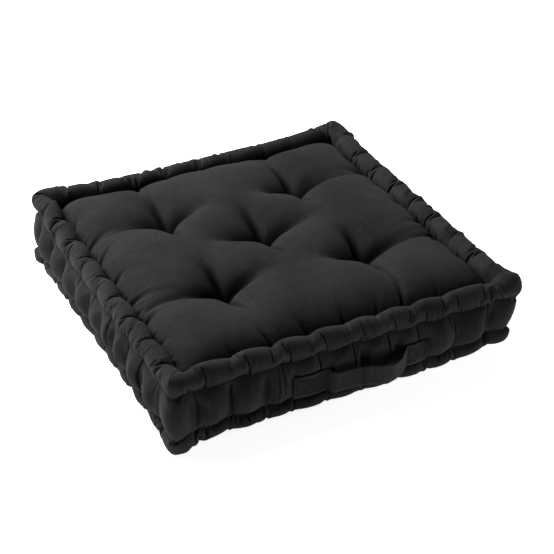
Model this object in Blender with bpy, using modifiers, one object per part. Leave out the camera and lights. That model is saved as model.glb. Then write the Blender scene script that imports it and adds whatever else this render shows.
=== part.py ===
"""Square floor cushion, built the way a stitched mattress is: cloth panels, a border, stuffed edge
rolls, layers of batting, tuft twines and a sewn-on carrying handle.

Metres, +Z up. The cushion lies flat with its underside on z = 0 and its handle on the -Y side. The
origin is under the middle of the whole footprint, handle included.
"""

import math

import bmesh
import bpy
from mathutils import Matrix, Vector

# Driving dimensions. Distances "out" are measured from the cushion's own upright middle line.
CLOTH = 0.0012
GAP = 0.0003

ROLL_OUT = 0.2821
ROLL_RADIUS = 0.0165
TOP_ROLL_HALF_HEIGHT = 0.0165
BOTTOM_ROLL_HALF_HEIGHT = 0.0125
TOP_ROLL_Z = 0.1095
BOTTOM_ROLL_Z = 0.0125
ROLL_STITCH_PITCH = 0.0645
ROLL_PINCH = 0.87
ROLL_EAR = 1.05
ROLL_STITCHES = 9
FILLING_SHARE = 0.68
# The casing runs round the roll between its two seams, by angle from straight outwards.
CASING_START = math.radians(-107)
CASING_END = math.radians(197)
CASING_STEPS = 7

BORDER_LOW = 0.0262
BORDER_HIGH = 0.0920
BORDER_EDGE_OUT = 0.2845
BORDER_VALLEY_OUT = 0.2870
BORDER_CREST_OUT = 0.2975
BORDER_CORNER_OUT = 0.2900
BORDER_SAG = 0.0016
BORDER_PINCH_PITCH = 0.0565
BORDER_PINCHES = 10

PANEL_HALF = 0.2640
PANEL_CREST_Z = 0.1320
TOP_EDGE_Z = 0.0985
TOP_PIT_Z = 0.0840
TOP_PIT_WIDTH = 0.035
BOTTOM_EDGE_Z = 0.0210
BOTTOM_EDGE_INSET = 0.024
EDGE_REACH = 0.045
BOTTOM_PIT_Z = 0.0220
BOTTOM_PIT_WIDTH = 0.028
TUFT_OUT = 0.120
VALLEY_DEPTH = 0.010
VALLEY_WIDTH = 0.018

BATT_HALF = 0.2605
BATT_CLEARANCE = 0.0060
MIDDLE_BATT_HALF = 0.2770
LOWER_BATT_TOP = 0.0350
UPPER_BATT_BOTTOM = 0.0778

TWINE_RADIUS = 0.0013
TWINE_HOLE = 0.0017
TWINE_HOLE_LENGTH = 0.160
KNOT_RADIUS = 0.0030
KNOT_HALF_HEIGHT = 0.0025
KNOT_STAND = 0.0045
STITCH_RADIUS = 0.0006
STITCH_STAND = 1.09
STITCH_ANGLE_OUTER = math.radians(-58)
STITCH_ANGLE_INNER = math.radians(202)

HANDLE_Z = 0.0500
HANDLE_WIDTH = 0.0400
HANDLE_FACE_OUT = 0.2985
HANDLE_THICK = 0.0030
STRAP_THICK = 0.0024
STRAP_HINGE_OUT = 0.3005
STRAP_REACH = 0.0265
STRAP_DROOP = 0.0020
STRAP_BOW = 3.0
STRAP_STATIONS = 24
STRAP_LEFT = -0.0440
STRAP_RIGHT = 0.0880
LEFT_END = (-0.1000, -0.0460)
RIGHT_END = (0.0900, 0.1290)
BOX_INSET = 0.0060
THREAD = 0.0008

# The handle stands out further than the rolls, so the cushion's middle sits half of that behind
# the origin.
ROLL_FACE_OUT = ROLL_OUT + ROLL_RADIUS * ROLL_EAR
HANDLE_FACE = STRAP_HINGE_OUT + STRAP_REACH + STRAP_THICK / 2
MIDDLE_Y = (HANDLE_FACE - ROLL_FACE_OUT) / 2

SIDES = {"front": 0, "right": 90, "back": 180, "left": 270}
TUFTS = {
    "middle": (0, 0),
    "back_left": (-TUFT_OUT, TUFT_OUT),
    "back_right": (TUFT_OUT, TUFT_OUT),
    "front_left": (-TUFT_OUT, -TUFT_OUT),
    "front_right": (TUFT_OUT, -TUFT_OUT),
}

# Where the panels' grid lines run, from the middle out to the seam.
TOP_LINES = [0, 0.03, 0.06, 0.09, 0.12, 0.15, 0.18, 0.21, 0.238, 0.254, PANEL_HALF]
BOTTOM_LINES = [0, 0.04, 0.08, 0.12, 0.16, 0.20, 0.238, 0.254, PANEL_HALF]

COTTON = (0.024, 0.024, 0.026)
TWINE = (0.016, 0.016, 0.018)
BATTING = (0.72, 0.69, 0.62)


def clear_scene():
    for obj in list(bpy.data.objects):
        bpy.data.objects.remove(obj, do_unlink=True)


def new_collection(name):
    collection = bpy.data.collections.new(name)
    bpy.context.scene.collection.children.link(collection)
    return collection


def set_material(obj, colour, roughness):
    material = bpy.data.materials.new(f"{obj.name}_material")
    material.use_nodes = True
    shader = material.node_tree.nodes["Principled BSDF"]
    shader.inputs["Base Color"].default_value = (*colour, 1)
    shader.inputs["Roughness"].default_value = roughness
    shader.inputs["Metallic"].default_value = 0
    obj.data.materials.clear()
    obj.data.materials.append(material)


def add_object(name, mesh, middle, colour=COTTON, roughness=0.9, turn=0):
    """A named part under the cushion's middle, turned about Z by a number of degrees."""
    obj = bpy.data.objects.new(name, mesh)
    parts.objects.link(obj)
    obj.parent = middle
    obj.rotation_euler.z = math.radians(turn)
    set_material(obj, colour, roughness)
    mesh.shade_smooth()
    mesh.set_sharp_from_angle(angle=math.radians(50))
    return obj


def finish_mesh(name, bm):
    mesh = bpy.data.meshes.new(name)
    bm.to_mesh(mesh)
    bm.free()
    return mesh


def thicken(obj, thickness, offset=-1):
    """Turns an open sheet into cloth of a real thickness, inwards from its outer face."""
    solidify = obj.modifiers.new("thickness", "SOLIDIFY")
    solidify.thickness = thickness
    solidify.offset = offset
    solidify.use_even_offset = True


def loft(rows, ring=False, tube=False):
    """Skins rows of points: ring joins the last row to the first, tube closes each row."""
    bm = bmesh.new()
    grid = [[bm.verts.new(point) for point in row] for row in rows]
    count = len(grid)
    for i in range(count if ring else count - 1):
        near, far = grid[i], grid[(i + 1) % count]
        for j in range(len(near) if tube else len(near) - 1):
            k = (j + 1) % len(near)
            bm.faces.new((near[j], far[j], far[k], near[k]))
    return bm


def cloth_strip(name, outer_rows, inner_rows):
    """Cloth between two skins of matching rows, closed along its edges and at both ends."""
    rows = [outer + inner[::-1] for outer, inner in zip(outer_rows, inner_rows)]
    bm = loft(rows, tube=True)
    bm.verts.ensure_lookup_table()
    around = len(rows[0])
    for start in (0, len(bm.verts) - around):
        for j in range(around // 2 - 1):
            corners = (j, j + 1, around - 2 - j, around - 1 - j)
            bm.faces.new([bm.verts[start + c] for c in corners])
    bmesh.ops.recalc_face_normals(bm, faces=bm.faces)
    # The shorter diagonal is the same one on both skins, so they never cross.
    bmesh.ops.triangulate(bm, faces=bm.faces, quad_method="SHORT_EDGE")
    return finish_mesh(name, bm)


def round_section(out, z, half_width, half_height, start, end, steps):
    """Points (out, z) along part of an oval, by angle from straight outwards."""
    angles = [start + (end - start) * i / steps for i in range(steps + 1)]
    return [(out + half_width * math.cos(a), z + half_height * math.sin(a)) for a in angles]


def mitred(x, last_x, share, out):
    """Where a point of a side's station lies along the side.

    Up to the last pinch it is the station's own x. Past that it moves by its share of the way to
    the 45-degree mitre line, where x equals out.
    """
    if share == 0:
        return x
    side = math.copysign(1, x)
    return side * (last_x + (out - GAP - last_x) * share)


def side_stations(pitch, pinches):
    """Stations along one side as (x, share of the way to the corner, kind)."""
    last = (pinches - 1) / 2
    inner = []
    for i in range(2 * pinches - 1):
        kind = "pinch" if i % 2 == 0 else "crest"
        inner.append(((i / 2 - last) * pitch, 0, kind))
    end = last * pitch
    before = [(-end, 1, "corner"), (-end, 0.5, "crest")]
    after = [(end, 0.5, "crest"), (end, 1, "corner")]
    return before + inner + after, end


def roll_mesh(name, z, half_height):
    """A casing for one side's roll: most of a tube, pinched at each stitch, open to the core."""
    stations, end = side_stations(ROLL_STITCH_PITCH, ROLL_STITCHES)
    scale = {"pinch": ROLL_PINCH, "crest": 1.0, "corner": ROLL_EAR}
    skins = []
    for depth in (0, CLOTH):
        rows = []
        for x, share, kind in stations:
            width = ROLL_RADIUS * scale[kind] - depth
            height = half_height * scale[kind] - depth
            section = round_section(ROLL_OUT, z, width, height, CASING_START, CASING_END, CASING_STEPS)
            rows.append([(mitred(x, end, share, out), -out, up) for out, up in section])
        skins.append(rows)
    return cloth_strip(name, *skins)


def add_rolls(middle):
    turned_over = Matrix.Diagonal((1, 1, -1, 1)) @ Matrix.Translation((0, 0, -2 * BOTTOM_ROLL_Z))
    for side, turn in SIDES.items():
        top = roll_mesh(f"top_roll_{side}", TOP_ROLL_Z, TOP_ROLL_HALF_HEIGHT)
        add_object(f"top_roll_{side}", top, middle, turn=turn)
        low = roll_mesh(f"bottom_roll_{side}", BOTTOM_ROLL_Z, BOTTOM_ROLL_HALF_HEIGHT)
        low.transform(turned_over)
        low.flip_normals()
        add_object(f"bottom_roll_{side}", low, middle, turn=turn)


def square_ring(name, out, z, half_width, half_height, steps):
    """A rope of oval section round the whole cushion, mitred at its four corners."""
    section = round_section(0, 0, half_width, half_height, 0, math.tau, steps)[:-1]
    rows = []
    for turn in SIDES.values():
        spin = Matrix.Rotation(math.radians(turn), 4, "Z")
        rows.append([spin @ Vector((out + o, -out - o, z + up)) for o, up in section])
    bm = loft(rows, ring=True, tube=True)
    bmesh.ops.recalc_face_normals(bm, faces=bm.faces)
    return finish_mesh(name, bm)


def add_roll_fillings(middle):
    heights = {
        "top_roll_filling": (TOP_ROLL_Z, TOP_ROLL_HALF_HEIGHT),
        "bottom_roll_filling": (BOTTOM_ROLL_Z, BOTTOM_ROLL_HALF_HEIGHT),
    }
    for name, (z, half_height) in heights.items():
        width = ROLL_RADIUS * FILLING_SHARE
        mesh = square_ring(name, ROLL_OUT, z, width, half_height * FILLING_SHARE, 8)
        add_object(name, mesh, middle, BATTING)


def add_roll_stitching(middle):
    """Mattress twine along both sides of each roll's foot."""
    rolls = {
        "top": (TOP_ROLL_Z, TOP_ROLL_HALF_HEIGHT),
        "bottom": (BOTTOM_ROLL_Z, -BOTTOM_ROLL_HALF_HEIGHT),
    }
    angles = {"outer": STITCH_ANGLE_OUTER, "inner": STITCH_ANGLE_INNER}
    for level, (roll_z, half_height) in rolls.items():
        for place, angle in angles.items():
            name = f"{level}_{place}_stitching"
            out = ROLL_OUT + STITCH_STAND * ROLL_RADIUS * math.cos(angle)
            z = roll_z + STITCH_STAND * half_height * math.sin(angle)
            mesh = square_ring(name, out, z, STITCH_RADIUS, STITCH_RADIUS, 6)
            add_object(name, mesh, middle, TWINE, 0.7)


def border_mesh(name):
    """One side's upright strip, puffed out between its pinches."""
    stations, end = side_stations(BORDER_PINCH_PITCH, BORDER_PINCHES)
    belly = {"pinch": BORDER_VALLEY_OUT, "crest": BORDER_CREST_OUT, "corner": BORDER_CORNER_OUT}
    sag = {"pinch": 0, "crest": BORDER_SAG, "corner": BORDER_SAG / 2}
    # How far up the border each line of points is, and how far out it swells there.
    swell = [(0, 0), (0.24, 0.80), (0.49, 1), (0.77, 0.76), (1, 0)]
    skins = []
    for depth in (0, CLOTH):
        rows = []
        for x, share, kind in stations:
            row = []
            for height, amount in swell:
                out = BORDER_EDGE_OUT + (belly[kind] - BORDER_EDGE_OUT) * amount - depth
                z = BORDER_LOW + (BORDER_HIGH - BORDER_LOW) * height - sag[kind] * amount
                row.append((mitred(x, end, share, out), -out, z))
            rows.append(row)
        skins.append(rows)
    return cloth_strip(name, *skins)


def add_borders(middle):
    for side, turn in SIDES.items():
        name = f"border_{side}"
        add_object(name, border_mesh(name), middle, turn=turn)


def near(distance, width):
    return math.exp(-((distance / width) ** 2))


def edge_fall(x, y):
    """From 0 on the panel's flat middle to 1 at its seam, as a quarter circle."""
    inset = PANEL_HALF - max(abs(x), abs(y))
    return 1 - math.sqrt(1 - (1 - min(inset / EDGE_REACH, 1)) ** 2)


def pit(x, y, width):
    return max(near(math.hypot(x - tx, y - ty), width) for tx, ty in TUFTS.values())


def valley(x, y):
    """How strongly the creases between the outer tufts, and out to the edges, pull at a point."""
    return max(near(abs(x) - TUFT_OUT, VALLEY_WIDTH), near(abs(y) - TUFT_OUT, VALLEY_WIDTH))


def top_surface(x, y):
    crest = PANEL_CREST_Z - VALLEY_DEPTH * valley(x, y)
    sunk = pit(x, y, TOP_PIT_WIDTH)
    height = crest + (TOP_PIT_Z - crest) * sunk
    return height + (TOP_EDGE_Z - height) * edge_fall(x, y)


def bottom_surface(x, y):
    sunk = pit(x, y, BOTTOM_PIT_WIDTH)
    flat = 0 if sunk < 0.1 else BOTTOM_PIT_Z * sunk
    inset = PANEL_HALF - max(abs(x), abs(y))
    return flat if inset > BOTTOM_EDGE_INSET else BOTTOM_EDGE_Z * edge_fall(x, y)


def panel_grid(lines, half, surface, lift=0):
    """A square grid on the given lines, scaled to a half side, and raised to a surface."""
    steps = len(lines) - 1
    bm = bmesh.new()
    bmesh.ops.create_grid(bm, x_segments=2 * steps, y_segments=2 * steps, size=steps)
    for vert in bm.verts:
        x, y = (math.copysign(lines[round(abs(c))], c) for c in vert.co.xy)
        z = surface(x, y) + lift
        vert.co = (x * half / PANEL_HALF, y * half / PANEL_HALF, z)
    # One diagonal everywhere, so that a panel and the batting under it have the same facets.
    bmesh.ops.triangulate(bm, faces=bm.faces, quad_method="FIXED")
    return bm


def drill(obj):
    """Lets the tuft twines through."""
    cut = obj.modifiers.new("twine_holes", "BOOLEAN")
    cut.operation = "DIFFERENCE"
    cut.solver = "EXACT"
    cut.object = bpy.data.objects["twine_holes"]


def add_hole_cutter(middle):
    bm = bmesh.new()
    for x, y in TUFTS.values():
        place = Matrix.Translation((x, y, PANEL_CREST_Z / 2))
        bmesh.ops.create_cone(
            bm,
            cap_ends=True,
            segments=8,
            radius1=TWINE_HOLE,
            radius2=TWINE_HOLE,
            depth=TWINE_HOLE_LENGTH,
            matrix=place,
        )
    cutter = bpy.data.objects.new("twine_holes", finish_mesh("twine_holes", bm))
    cutters.objects.link(cutter)
    cutter.parent = middle
    cutter.hide_render = True
    cutter.display_type = "WIRE"


def add_panels(middle):
    top = panel_grid(TOP_LINES, PANEL_HALF, top_surface)
    low = panel_grid(BOTTOM_LINES, PANEL_HALF, bottom_surface)
    bmesh.ops.reverse_faces(low, faces=low.faces)
    for name, bm in {"top_panel": top, "bottom_panel": low}.items():
        panel = add_object(name, finish_mesh(name, bm), middle)
        thicken(panel, CLOTH)
        drill(panel)


def batt_mesh(name, lines, surface, lift, flat_z):
    """A layer of batting: one face follows a panel, the other is flat."""
    bm = panel_grid(lines, BATT_HALF, surface, lift)
    rim = [edge for edge in bm.edges if edge.is_boundary]
    grown = bmesh.ops.extrude_edge_only(bm, edges=rim)["geom"]
    for vert in grown:
        if isinstance(vert, bmesh.types.BMVert):
            vert.co.z = flat_z
    foot = [edge for edge in grown if isinstance(edge, bmesh.types.BMEdge) and edge.is_boundary]
    bmesh.ops.contextual_create(bm, geom=foot)
    bmesh.ops.recalc_face_normals(bm, faces=bm.faces)
    return finish_mesh(name, bm)


def add_batts(middle):
    def upper_face(x, y):
        return max(top_surface(x, y) - BATT_CLEARANCE, UPPER_BATT_BOTTOM + 0.002)

    upper = batt_mesh("upper_batt", TOP_LINES, upper_face, 0, UPPER_BATT_BOTTOM)
    lower = batt_mesh("lower_batt", BOTTOM_LINES, bottom_surface, BATT_CLEARANCE, LOWER_BATT_TOP)
    drill(add_object("upper_batt", upper, middle, BATTING))
    drill(add_object("lower_batt", lower, middle, BATTING))

    bm = bmesh.new()
    low, high = LOWER_BATT_TOP + GAP, UPPER_BATT_BOTTOM - GAP
    bmesh.ops.create_cube(bm, size=1)
    size = (2 * MIDDLE_BATT_HALF, 2 * MIDDLE_BATT_HALF, high - low)
    bmesh.ops.scale(bm, vec=size, verts=bm.verts)
    bmesh.ops.translate(bm, vec=(0, 0, (low + high) / 2), verts=bm.verts)
    batt = add_object("middle_batt", finish_mesh("middle_batt", bm), middle, BATTING)
    bevel = batt.modifiers.new("soft_edges", "BEVEL")
    bevel.width = 0.008
    bevel.segments = 2
    drill(batt)


def add_twines(middle):
    """Each tuft twine is a turned shape: a knot, the cord through the fill, and a knot."""
    top_knot = TOP_PIT_Z + KNOT_STAND
    bottom_knot = BOTTOM_PIT_Z - KNOT_STAND
    shoulder = KNOT_HALF_HEIGHT * 0.8
    profile = [
        (0, top_knot + KNOT_HALF_HEIGHT),
        (KNOT_RADIUS, top_knot),
        (TWINE_RADIUS, top_knot - shoulder),
        (TWINE_RADIUS, bottom_knot + shoulder),
        (KNOT_RADIUS, bottom_knot),
        (0, bottom_knot - KNOT_HALF_HEIGHT),
    ]
    for place, (x, y) in TUFTS.items():
        name = f"tuft_twine_{place}"
        bm = bmesh.new()
        points = [bm.verts.new((r, 0, z)) for r, z in profile]
        for a, b in zip(points, points[1:]):
            bm.edges.new((a, b))
        twine = add_object(name, finish_mesh(name, bm), middle, TWINE, 0.7)
        twine.location = (x, y, 0)
        screw = twine.modifiers.new("turned", "SCREW")
        screw.steps = screw.render_steps = 8
        screw.use_merge_vertices = True
        screw.merge_threshold = 0.0001


def sewn_end(name, span, middle):
    """One end of the handle, sewn flat on the front border."""
    left, right = span
    bm = bmesh.new()
    bmesh.ops.create_cube(bm, size=1)
    bmesh.ops.scale(bm, vec=(right - left, HANDLE_THICK, HANDLE_WIDTH), verts=bm.verts)
    end = add_object(name, finish_mesh(name, bm), middle)
    end.location = ((left + right) / 2, -HANDLE_FACE_OUT - HANDLE_THICK / 2, HANDLE_Z)
    bevel = end.modifiers.new("soft_edges", "BEVEL")
    bevel.width = 0.0008
    bevel.segments = 1


def box_stitching(name, span, middle):
    """A stitched box with a cross in it, standing just proud of the handle's sewn end."""
    left, right = span
    bm = bmesh.new()
    bmesh.ops.create_grid(bm, x_segments=1, y_segments=1, size=0.5)
    bmesh.ops.poke(bm, faces=bm.faces)
    size = (right - left - 2 * BOX_INSET, HANDLE_WIDTH - 2 * BOX_INSET, 1)
    bmesh.ops.scale(bm, vec=size, verts=bm.verts)
    stitching = add_object(name, finish_mesh(name, bm), middle, TWINE, 0.7)
    stand = HANDLE_FACE_OUT + HANDLE_THICK + THREAD
    stitching.location = ((left + right) / 2, -stand, HANDLE_Z)
    stitching.rotation_euler.x = math.radians(90)
    wire = stitching.modifiers.new("thread", "WIREFRAME")
    wire.thickness = THREAD
    wire.use_even_offset = True
    wire.use_boundary = True


def strap_mesh():
    """The handle's free loop, about its hinge line. It narrows where it nears the border."""
    half_length = (STRAP_RIGHT - STRAP_LEFT) / 2
    rows = []
    for i in range(STRAP_STATIONS + 1):
        angle = math.pi * i / STRAP_STATIONS
        along = math.copysign(abs(math.cos(angle)) ** (2 / STRAP_BOW), -math.cos(angle))
        reach = STRAP_REACH * math.sin(angle) ** (2 / STRAP_BOW) if 0 < i < STRAP_STATIONS else 0
        half_width = min(HANDLE_WIDTH / 2, 0.0035 + 0.83 * reach)
        drop = STRAP_DROOP * reach / STRAP_REACH
        x = half_length * along
        rows.append([(x, -reach, k * half_width - drop) for k in (-1, 0, 1)])
    bm = loft(rows)
    bmesh.ops.recalc_face_normals(bm, faces=bm.faces)
    return finish_mesh("handle_strap", bm)


def add_handle(middle):
    sewn_end("handle_end_left", LEFT_END, middle)
    sewn_end("handle_end_right", RIGHT_END, middle)
    box_stitching("handle_stitching_left", LEFT_END, middle)
    box_stitching("handle_stitching_right", RIGHT_END, middle)

    hinge = bpy.data.objects.new("handle_hinge", None)
    parts.objects.link(hinge)
    hinge.parent = middle
    hinge.location = ((STRAP_LEFT + STRAP_RIGHT) / 2, -STRAP_HINGE_OUT, HANDLE_Z)
    strap = add_object("handle_strap", strap_mesh(), hinge)
    thicken(strap, STRAP_THICK, offset=0)


def build():
    middle = bpy.data.objects.new("cushion_middle", None)
    parts.objects.link(middle)
    middle.location.y = MIDDLE_Y
    add_hole_cutter(middle)
    add_panels(middle)
    add_borders(middle)
    add_rolls(middle)
    add_roll_fillings(middle)
    add_roll_stitching(middle)
    add_batts(middle)
    add_twines(middle)
    add_handle(middle)
    bpy.context.view_layer.update()


clear_scene()
parts = new_collection("floor_cushion")
cutters = new_collection("cutters")
build()
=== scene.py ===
"""A square mattress-style floor cushion in black cotton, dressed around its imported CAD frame.

Metres, +Z up, in the frame's own axes. The cover is simulated: each piece of cloth is a grid of points
that keeps its sewn lengths while the stuffing pushes it out from inside. Inside this script a place is
given from the cushion's own upright middle line, which MIDDLE puts in the frame.
"""

import math
from concurrent.futures import ThreadPoolExecutor

import bpy
import numpy as np
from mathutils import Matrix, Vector


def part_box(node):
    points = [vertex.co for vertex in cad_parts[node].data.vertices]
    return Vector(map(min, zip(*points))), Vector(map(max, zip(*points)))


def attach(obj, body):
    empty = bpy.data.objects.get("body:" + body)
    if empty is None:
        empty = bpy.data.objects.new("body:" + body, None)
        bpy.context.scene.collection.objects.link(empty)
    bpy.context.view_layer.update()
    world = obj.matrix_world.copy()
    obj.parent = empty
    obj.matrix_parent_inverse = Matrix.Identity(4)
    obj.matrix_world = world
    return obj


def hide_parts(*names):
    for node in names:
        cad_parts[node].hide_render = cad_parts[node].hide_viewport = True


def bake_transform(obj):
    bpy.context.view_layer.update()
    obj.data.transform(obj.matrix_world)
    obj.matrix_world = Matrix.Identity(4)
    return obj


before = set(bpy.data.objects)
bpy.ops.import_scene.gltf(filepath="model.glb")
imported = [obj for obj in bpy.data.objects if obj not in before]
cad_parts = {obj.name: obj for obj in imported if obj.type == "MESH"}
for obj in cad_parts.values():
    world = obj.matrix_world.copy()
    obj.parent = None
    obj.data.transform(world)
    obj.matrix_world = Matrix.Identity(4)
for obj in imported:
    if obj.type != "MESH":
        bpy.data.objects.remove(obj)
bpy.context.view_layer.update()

PANEL_LOW, PANEL_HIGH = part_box("top_panel")
MIDDLE = Vector(((PANEL_LOW.x + PANEL_HIGH.x) / 2, (PANEL_LOW.y + PANEL_HIGH.y) / 2, 0))

# Where the cloth is sewn. "Out" is the distance from the middle line towards a side.
PANEL_HALF = 0.2645
TOP_PANEL_EDGE_Z = 0.0940
BOTTOM_PANEL_EDGE_Z = 0.0195
ROLL_OUT = 0.2821
ROLL_RADIUS = 0.0165
TOP_ROLL_Z = 0.1092
BOTTOM_ROLL_Z = 0.0126
BOTTOM_ROLL_HALF_HEIGHT = 0.0122
INNER_SEAM_OUT = 0.2660
OUTER_SEAM_OUT = 0.2905
BORDER_TOP = 0.0935
BORDER_BOTTOM = 0.0248

# Which way is outward at each level.
UP = {"top": 1, "bottom": -1}

# A stitch draws a roll's inner seam into the fill, its two cloths apart there, and its outer seam in.
SEAM_DIP = 0.0028
INNER_SEAM_GIVE = 0.0008
OUTER_SEAM_GIVE = 0.0030

# The handle, along the front, and how far out the border comes behind its sewn ends and its loop.
HANDLE_Z = 0.0500
HANDLE_WIDTH = 0.0400
HANDLE_MIDDLE, HANDLE_HALF_LENGTH = 0.0145, 0.120
LOOP_MIDDLE, LOOP_HALF_LENGTH = 0.0220, 0.064
BEHIND_ENDS, BEHIND_LOOP = 0.2996, 0.3030

# The tufts are tied by hand, a little off their even grid: the middle one, then the four round it.
TUFTS = [(0.003, 0.012), (-0.119, -0.099), (-0.119, 0.119), (0.117, -0.105), (0.113, 0.121)]
TOP_TUFT_Z = 0.0785
BOTTOM_TUFT_Z = 0.0200

# Columns run round the cushion, the same for the rolls and the border. A side's columns are straight
# this far from its middle, and then turn the corner.
SIDE_COLUMNS = 384
STRAIGHT = 0.240
ROUND = 8 * ROLL_OUT

CLOTH = 0.0011
UPPER_BATT_BOTTOM = 0.0660
LOWER_BATT_TOP = 0.0348


# ---------------- cloth solver


class Cloth:
    """A grid of cloth points, rows across it and columns along it. Pairs of points are moved back to
    their sewn distance while pressure pushes every point out along the cloth's own normal."""

    shear = 0.10

    def __init__(self, points, across, along, fixed, loop=False, flip=1.0, bend=0.10):
        self.x = points.astype(np.float32)
        self.v = np.zeros_like(self.x)
        self.free = (~fixed).astype(np.float32)
        self.loop = loop
        self.flip = flip
        self.bend = bend
        self.batches = self.make_batches(across.astype(np.float32), along.astype(np.float32))

    def make_batches(self, across, along):
        """Pairs that share no point, as slices, so that each batch is one numpy step."""
        rows, cols = self.free.shape
        every = slice(None)
        found = []

        def add(ra, ca, rb, cb, rest, stiff):
            wa, wb = self.free[ra, ca], self.free[rb, cb]
            share = stiff / np.maximum(wa + wb, 1e-6)
            found.append((ra, ca, rb, cb, rest, (wa * share)[..., None], (wb * share)[..., None]))

        def halves(count):
            for start in (0, 1):
                n = (count - start) // 2 * 2
                if n:
                    yield slice(start, start + n, 2), slice(start + 1, start + n, 2)

        def skipping(count):
            for start in range(4):
                b = slice(start + 2, count, 4)
                n = len(range(start + 2, count, 4))
                if n:
                    yield slice(start, start + 4 * n - 3, 4), b

        last, first = slice(cols - 1, cols), slice(0, 1)
        for a, b in halves(cols):
            add(every, a, every, b, along[:, a], 1.0)
        if self.loop:
            add(every, last, every, first, along[:, last], 1.0)
        for a, b in halves(rows):
            add(a, every, b, every, across[a], 1.0)

        left, right = slice(0, cols - 1), slice(1, cols)
        wide = (along[:-1, left] + along[1:, left]) / 2
        tall = (across[:, left] + across[:, right]) / 2
        diagonal = np.sqrt(wide**2 + tall**2)
        for a, b in halves(rows):
            add(a, left, b, right, diagonal[a], self.shear)
            add(a, right, b, left, diagonal[a], self.shear)
            if self.loop:
                wide_end = (along[:-1, last] + along[1:, last]) / 2
                tall_end = (across[:, last] + across[:, first]) / 2
                end = np.sqrt(wide_end**2 + tall_end**2)
                add(a, last, b, first, end[a], self.shear)
                add(a, first, b, last, end[a], self.shear)

        two_along = along[:, : cols - 2] + along[:, 1 : cols - 1]
        two_across = across[:-1] + across[1:]
        for a, b in skipping(cols):
            add(every, a, every, b, two_along[:, a], self.bend)
        for a, b in skipping(rows):
            add(a, every, b, every, two_across[a], self.bend)
        return found

    def project(self):
        x = self.x
        for ra, ca, rb, cb, rest, wa, wb in self.batches:
            a, b = x[ra, ca], x[rb, cb]
            d = b - a
            length = np.sqrt(np.einsum("...i,...i", d, d)) + 1e-9
            d *= ((length - rest) / length)[..., None]
            a += wa * d
            b -= wb * d

    def normals(self):
        return surface_normals(self.x, self.loop) * self.flip

    def settle(self, steps, pressure, fill, keep_in, damping=0.93):
        for _ in range(steps):
            before = self.x.copy()
            push = pressure * fill(self.x)[..., None] * self.normals()
            self.x += (self.v * damping + push) * self.free[..., None]
            self.project()
            keep_in(self.x)
            self.v = self.x - before
        return self.x


def surface_normals(x, loop):
    """Unit normals of a grid of points, by the cross product of its columns and rows."""
    if loop:
        du = np.roll(x, -1, 1) - np.roll(x, 1, 1)
    else:
        du = np.empty_like(x)
        du[:, 1:-1] = x[:, 2:] - x[:, :-2]
        du[:, 0] = x[:, 1] - x[:, 0]
        du[:, -1] = x[:, -1] - x[:, -2]
    dv = np.empty_like(x)
    dv[1:-1] = x[2:] - x[:-2]
    dv[0] = x[1] - x[0]
    dv[-1] = x[-1] - x[-2]
    n = np.empty_like(x)
    n[..., 0] = du[..., 1] * dv[..., 2] - du[..., 2] * dv[..., 1]
    n[..., 1] = du[..., 2] * dv[..., 0] - du[..., 0] * dv[..., 2]
    n[..., 2] = du[..., 0] * dv[..., 1] - du[..., 1] * dv[..., 0]
    n /= np.sqrt(np.einsum("...i,...i", n, n))[..., None] + 1e-12
    return n


def cubic(p, count, wrap):
    """Resamples p along its first axis, on a smooth curve through its points."""
    n = len(p)
    if wrap:
        at = np.arange(count) * n / count
        i = np.floor(at).astype(int)
        p0, p1, p2, p3 = (p[(i + k) % n] for k in (-1, 0, 1, 2))
    else:
        at = np.linspace(0, n - 1, count)
        i = np.minimum(np.floor(at).astype(int), n - 2)
        p0, p1, p2, p3 = (p[np.clip(i + k, 0, n - 1)] for k in (-1, 0, 1, 2))
    f = (at - i).reshape(-1, 1, 1)
    bent = 2 * p0 - 5 * p1 + 4 * p2 - p3
    return 0.5 * (2 * p1 + (p2 - p0) * f + bent * f**2 + (3 * p1 - p0 - 3 * p2 + p3) * f**3)


def refine(points, rows, cols, loop):
    """The same surface on a finer grid."""
    taller = cubic(points, rows, False)
    return cubic(taller.transpose(1, 0, 2), cols, loop).transpose(1, 0, 2)


def lengths(points, loop):
    """Distances between neighbours of a grid: across it, and along it."""
    across = np.linalg.norm(points[1:] - points[:-1], axis=-1)
    if loop:
        along = np.linalg.norm(np.roll(points, -1, 1) - points, axis=-1)
    else:
        along = np.linalg.norm(points[:, 1:] - points[:, :-1], axis=-1)
    return across, along


# ---------------- where the seams and stitches are


def near(distance, width):
    return np.exp(-((distance / width) ** 2))


def stitches(front, count, pitch, seed, shift):
    """Stitches round the cushion: where each is, as a distance round, and how hard it pulls."""
    rng = np.random.default_rng(seed)
    found = []
    for side in range(4):
        places = front if side == 0 else (np.arange(count) - (count - 1) / 2) * pitch
        for x in places:
            wander = rng.uniform(-shift, shift) if side else 0
            found.append((side * 2 * ROLL_OUT + ROLL_OUT + x + wander, rng.uniform(0.72, 1.12)))
    return found


# Places of the stitches along the front, by x. The other sides have even ones.
ROLL_FRONT = (-0.262, -0.186, -0.121, -0.058, 0.001, 0.061, 0.115, 0.173, 0.252)
BORDER_FRONT = (-0.258, -0.2035, -0.1455, -0.098, -0.040, 0.018, 0.078, 0.130, 0.183, 0.246)
ROLL_STITCHES = stitches(ROLL_FRONT, 9, 0.0630, 3, 0.0050)
BORDER_STITCHES = stitches(BORDER_FRONT, 10, 0.0560, 5, 0.0050)
SEAM_STITCHES = {"top": ROLL_STITCHES, "bottom": BORDER_STITCHES}

# How far along a seam a stitch is felt, and how much higher the outer seams are at a stitch.
SEAM_PULL = 0.015
SCALLOP = 0.0052


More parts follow.
